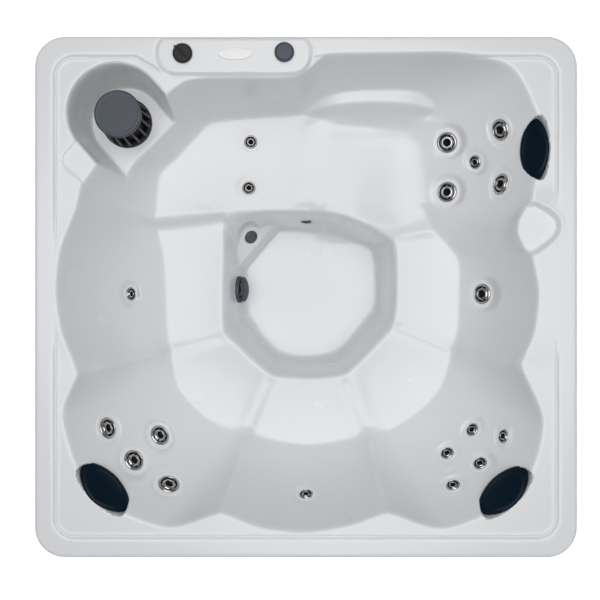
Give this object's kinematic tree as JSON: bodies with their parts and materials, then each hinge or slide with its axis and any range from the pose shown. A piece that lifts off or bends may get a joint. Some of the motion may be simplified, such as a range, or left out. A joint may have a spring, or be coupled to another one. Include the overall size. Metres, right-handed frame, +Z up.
{
  "type": "hot tub",
  "caption": "Square acrylic hot tub with a lounger, sculpted seats, a footwell, turning jets, pillows, a corner skim filter and a panelled cabinet.",
  "frame": {"origin": "centre of the base's underside", "axes": "+Z up, +Y towards the side with the control panel, +X towards the lounger's head end"},
  "size_m": [2.01, 1.93, 0.8883],
  "materials": {
    "polished_steel": "polished",
    "pipe_plastic": "satin",
    "slate_plastic": "satin",
    "white_plastic": "satin",
    "clear_lens": "polished",
    "filter_paper": "matte",
    "black_plastic": "satin",
    "navy_foam": "matte",
    "acrylic": "gloss",
    "cabinet_board": "textured",
    "block_foam": "matte",
    "motor_paint": "satin",
    "heater_steel": "brushed"
  },
  "bodies": {
    "tub": {"jet_line_left": "pipe_plastic", "jet_line_right": "pipe_plastic", "jet_line_head": "pipe_plastic", "suction_fitting": "pipe_plastic", "suction_guard": "slate_plastic", "light_housing": "white_plastic", "light_lens": "clear_lens", "return_fitting": "slate_plastic", "filter_housing": "pipe_plastic", "diverter_valve": "pipe_plastic", "badge_plate": "white_plastic", "button_housing": "slate_plastic", "shell": "acrylic", "base_pan": "black_plastic", "front_header": "cabinet_board", "side_panel_right": "cabinet_board", "side_panel_left": "cabinet_board", "back_panel": "cabinet_board", "corner_post_front_left": "cabinet_board", "corner_post_front_right": "cabinet_board", "corner_post_back_right": "cabinet_board", "corner_post_back_left": "cabinet_board", "footwell_block": "block_foam", "pump_wet_end": "black_plastic", "pump_motor": "motor_paint", "suction_pipe": "pipe_plastic", "heater": "heater_steel", "control_box": "motor_paint", "power_gland": "black_plastic", "drain_spout": "pipe_plastic"},
    "control_knob": {"control_knob": "black_plastic"},
    "push_button": {"push_button": "slate_plastic"},
    "filter_cartridge": {"filter_cartridge": "filter_paper"},
    "skimmer_basket": {"skimmer_basket": "black_plastic"},
    "filter_lid": {"filter_lid": "slate_plastic"},
    "pillow_head": {"pillow_head": "navy_foam"},
    "pillow_corner_left": {"pillow_corner_left": "navy_foam"},
    "pillow_corner_right": {"pillow_corner_right": "navy_foam"},
    "access_door": {"access_door": "cabinet_board"},
    "drain_cap": {"drain_cap": "slate_plastic"},
    "pump_impeller": {"pump_impeller": "black_plastic"},
    "jet_calf_rear": {"jet_calf_rear": "polished_steel"},
    "jet_calf_front": {"jet_calf_front": "polished_steel"},
    "jet_back_low_rear": {"jet_back_low_rear": "polished_steel"},
    "jet_back_high_rear": {"jet_back_high_rear": "polished_steel"},
    "jet_back_middle": {"jet_back_middle": "polished_steel"},
    "jet_back_high_front": {"jet_back_high_front": "polished_steel"},
    "jet_back_low_front": {"jet_back_low_front": "polished_steel"},
    "jet_side_right": {"jet_side_right": "polished_steel"},
    "jet_right_outer": {"jet_right_outer": "polished_steel"},
    "jet_right_upper": {"jet_right_upper": "polished_steel"},
    "jet_right_middle": {"jet_right_middle": "polished_steel"},
    "jet_right_inner": {"jet_right_inner": "polished_steel"},
    "jet_right_lower": {"jet_right_lower": "polished_steel"},
    "jet_side_left": {"jet_side_left": "polished_steel"},
    "jet_left_outer": {"jet_left_outer": "polished_steel"},
    "jet_left_middle": {"jet_left_middle": "polished_steel"},
    "jet_left_upper": {"jet_left_upper": "polished_steel"},
    "jet_left_lower": {"jet_left_lower": "polished_steel"},
    "jet_side_front": {"jet_side_front": "polished_steel"}
  },
  "joints": [
    {"name": "knob_turn", "type": "hinge", "parent": "tub", "child": "control_knob", "pos_m": [-0.455, 0.898, 0.866], "axis": [0, 0, 1], "range_deg": [-90, 90]},
    {"name": "button_press", "type": "slide", "parent": "tub", "child": "push_button", "axis": [0, 0, -1], "range_m": [0, 0.004], "stiffness_N_per_m": 400, "springref_m": -0.002},
    {"name": "cartridge_lift", "type": "slide", "parent": "tub", "child": "filter_cartridge", "axis": [0, 0, 1], "range_m": [0, 0.38]},
    {"name": "basket_lift", "type": "slide", "parent": "filter_cartridge", "child": "skimmer_basket", "axis": [0, 0, 1], "range_m": [0, 0.25]},
    {"name": "lid_lift", "type": "slide", "parent": "skimmer_basket", "child": "filter_lid", "axis": [0, 0, 1], "range_m": [0, 0.12]},
    {"name": "pillow_head_pull", "type": "slide", "parent": "tub", "child": "pillow_head", "axis": [-0.6594, 0, 0.7518], "range_m": [0, 0.12]},
    {"name": "pillow_corner_left_pull", "type": "slide", "parent": "tub", "child": "pillow_corner_left", "axis": [0.4664, 0.4661, 0.7518], "range_m": [0, 0.12]},
    {"name": "pillow_corner_right_pull", "type": "slide", "parent": "tub", "child": "pillow_corner_right", "axis": [-0.4572, 0.4751, 0.7518], "range_m": [0, 0.12]},
    {"name": "door_pull", "type": "slide", "parent": "tub", "child": "access_door", "axis": [0, -1, 0], "range_m": [0, 0.3]},
    {"name": "drain_cap_pull", "type": "slide", "parent": "tub", "child": "drain_cap", "axis": [-1, 0, 0], "range_m": [0, 0.06]},
    {"name": "impeller_spin", "type": "hinge", "parent": "tub", "child": "pump_impeller", "pos_m": [-0.15, -0.64, 0.118], "axis": [1, 0, 0], "continuous": true},
    {"name": "jet_calf_rear_turn", "type": "hinge", "parent": "tub", "child": "jet_calf_rear", "pos_m": [-0.23115, 0.64751, 0.46823], "axis": [0.0178, -0.0422, 0.999], "range_deg": [0, 90]},
    {"name": "jet_calf_front_turn", "type": "hinge", "parent": "tub", "child": "jet_calf_front", "pos_m": [-0.23919, 0.45548, 0.4689], "axis": [-0.0006, 0.0525, 0.9986], "range_deg": [0, 90]},
    {"name": "jet_back_low_rear_turn", "type": "hinge", "parent": "tub", "child": "jet_back_low_rear", "pos_m": [0.5829, 0.63883, 0.50217], "axis": [-0.4145, -0.2002, 0.8878], "range_deg": [0, 90]},
    {"name": "jet_back_high_rear_turn", "type": "hinge", "parent": "tub", "child": "jet_back_high_rear", "pos_m": [0.75777, 0.65234, 0.69155], "axis": [-0.8098, -0.2612, 0.5254], "range_deg": [0, 90]},
    {"name": "jet_back_middle_turn", "type": "hinge", "parent": "tub", "child": "jet_back_middle", "pos_m": [0.68541, 0.54715, 0.56822], "axis": [-0.7216, -0.2328, 0.652], "range_deg": [0, 90]},
    {"name": "jet_back_high_front_turn", "type": "hinge", "parent": "tub", "child": "jet_back_high_front", "pos_m": [0.7628, 0.44294, 0.67749], "axis": [-0.8738, 0.1316, 0.4681], "range_deg": [0, 90]},
    {"name": "jet_back_low_front_turn", "type": "hinge", "parent": "tub", "child": "jet_back_low_front", "pos_m": [0.58692, 0.43715, 0.47959], "axis": [-0.5028, -0.0056, 0.8644], "range_deg": [0, 90]},
    {"name": "jet_side_right_turn", "type": "hinge", "parent": "tub", "child": "jet_side_right", "pos_m": [0.73064, 0.01255, 0.48903], "axis": [-0.7487, 0.021, 0.6625], "range_deg": [0, 90]},
    {"name": "jet_right_outer_turn", "type": "hinge", "parent": "tub", "child": "jet_right_outer", "pos_m": [0.77385, -0.54619, 0.67514], "axis": [-0.8765, 0.2492, 0.4119], "range_deg": [0, 90]},
    {"name": "jet_right_upper_turn", "type": "hinge", "parent": "tub", "child": "jet_right_upper", "pos_m": [0.67837, -0.54136, 0.54555], "axis": [-0.6621, 0.4841, 0.5721], "range_deg": [0, 90]},
    {"name": "jet_right_middle_turn", "type": "hinge", "parent": "tub", "child": "jet_right_middle", "pos_m": [0.68943, -0.65813, 0.64397], "axis": [-0.442, 0.6825, 0.5821], "range_deg": [0, 90]},
    {"name": "jet_right_inner_turn", "type": "hinge", "parent": "tub", "child": "jet_right_inner", "pos_m": [0.57788, -0.63883, 0.53683], "axis": [-0.4507, 0.6699, 0.59], "range_deg": [0, 90]},
    {"name": "jet_right_lower_turn", "type": "hinge", "parent": "tub", "child": "jet_right_lower", "pos_m": [0.57888, -0.74016, 0.66426], "axis": [-0.3214, 0.8373, 0.4422], "range_deg": [0, 90]},
    {"name": "jet_side_left_turn", "type": "hinge", "parent": "tub", "child": "jet_side_left", "pos_m": [-0.72461, 0.01255, 0.49829], "axis": [0.8415, 0.0489, 0.5381], "range_deg": [0, 90]},
    {"name": "jet_left_outer_turn", "type": "hinge", "parent": "tub", "child": "jet_left_outer", "pos_m": [-0.77887, -0.51531, 0.66781], "axis": [0.8213, 0.279, 0.4975], "range_deg": [0, 90]},
    {"name": "jet_left_middle_turn", "type": "hinge", "parent": "tub", "child": "jet_left_middle", "pos_m": [-0.6834, -0.64848, 0.63391], "axis": [0.6116, 0.4628, 0.6417], "range_deg": [0, 90]},
    {"name": "jet_left_upper_turn", "type": "hinge", "parent": "tub", "child": "jet_left_upper", "pos_m": [-0.60401, -0.57128, 0.50258], "axis": [0.6116, 0.4628, 0.6417], "range_deg": [0, 90]},
    {"name": "jet_left_lower_turn", "type": "hinge", "parent": "tub", "child": "jet_left_lower", "pos_m": [-0.5427, -0.74016, 0.64779], "axis": [0.2637, 0.7885, 0.5557], "range_deg": [0, 90]},
    {"name": "jet_side_front_turn", "type": "hinge", "parent": "tub", "child": "jet_side_front", "pos_m": [0, -0.78551, 0.62467], "axis": [-0.09, 0.8988, 0.4291], "range_deg": [0, 90]}
  ]
}
